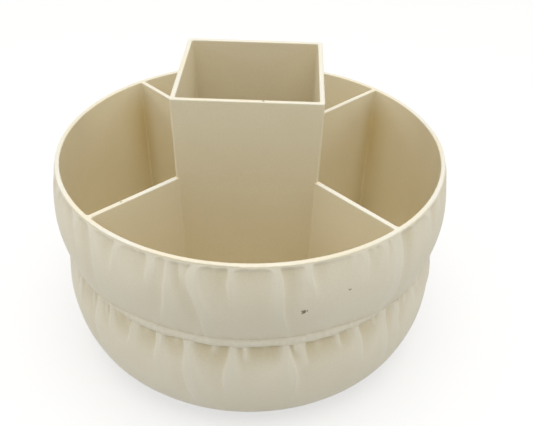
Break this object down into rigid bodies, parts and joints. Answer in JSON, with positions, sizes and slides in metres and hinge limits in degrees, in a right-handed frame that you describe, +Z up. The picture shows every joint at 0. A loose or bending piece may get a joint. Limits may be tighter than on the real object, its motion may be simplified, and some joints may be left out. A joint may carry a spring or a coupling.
{
  "type": "rotating desk organizer",
  "caption": "Round desk organizer with a cloth-look pleated tub, diagonal dividers and a taller square pen cup, turning on a ball-race base.",
  "frame": {"origin": "on the table, under the middle of the tub", "axes": "+Z up, the sides of the square cup along X and Y, -Y towards the viewer of the picture"},
  "size_m": [0.1498, 0.15, 0.1118],
  "materials": {
    "shell_plastic": "fine matte ivory plastic",
    "liner_plastic": "fine matte ivory plastic",
    "plate_plastic": "moulded ivory plastic",
    "cage_plastic": "natural nylon",
    "bush_plastic": "natural acetal",
    "ball_steel": "polished steel",
    "pin_steel": "turned steel",
    "zinc_steel": "zinc-plated steel",
    "spring_steel": "blackened spring steel",
    "foot_rubber": "soft black rubber"
  },
  "bodies": {
    "base": {"base_plate": "plate_plastic", "pivot_pin": "pin_steel", "thrust_washer": "zinc_steel", "retaining_clip": "spring_steel", "rubber_foot_1": "foot_rubber", "rubber_foot_2": "foot_rubber", "rubber_foot_3": "foot_rubber", "rubber_foot_4": "foot_rubber"},
    "tub": {"compartment_liner": "liner_plastic", "pleated_shell": "shell_plastic", "upper_plate": "plate_plastic", "plate_screws": "zinc_steel", "pivot_bush": "bush_plastic"},
    "cage": {"ball_cage": "cage_plastic", "ball_01": "ball_steel", "ball_02": "ball_steel", "ball_03": "ball_steel", "ball_04": "ball_steel", "ball_05": "ball_steel", "ball_06": "ball_steel", "ball_07": "ball_steel", "ball_08": "ball_steel", "ball_09": "ball_steel", "ball_10": "ball_steel", "ball_11": "ball_steel", "ball_12": "ball_steel"}
  },
  "joints": [
    {"name": "tub_spin", "type": "hinge", "parent": "base", "child": "tub", "pos_m": [0, 0, 0.008], "axis": [0, 0, 1], "continuous": true},
    {"name": "cage_spin", "type": "hinge", "parent": "base", "child": "cage", "pos_m": [0, 0, 0.0057], "axis": [0, 0, 1], "continuous": true}
  ],
  "couplings": [
    {"joint": "cage_spin", "follows": "tub_spin", "ratio": 0.5}
  ]
}
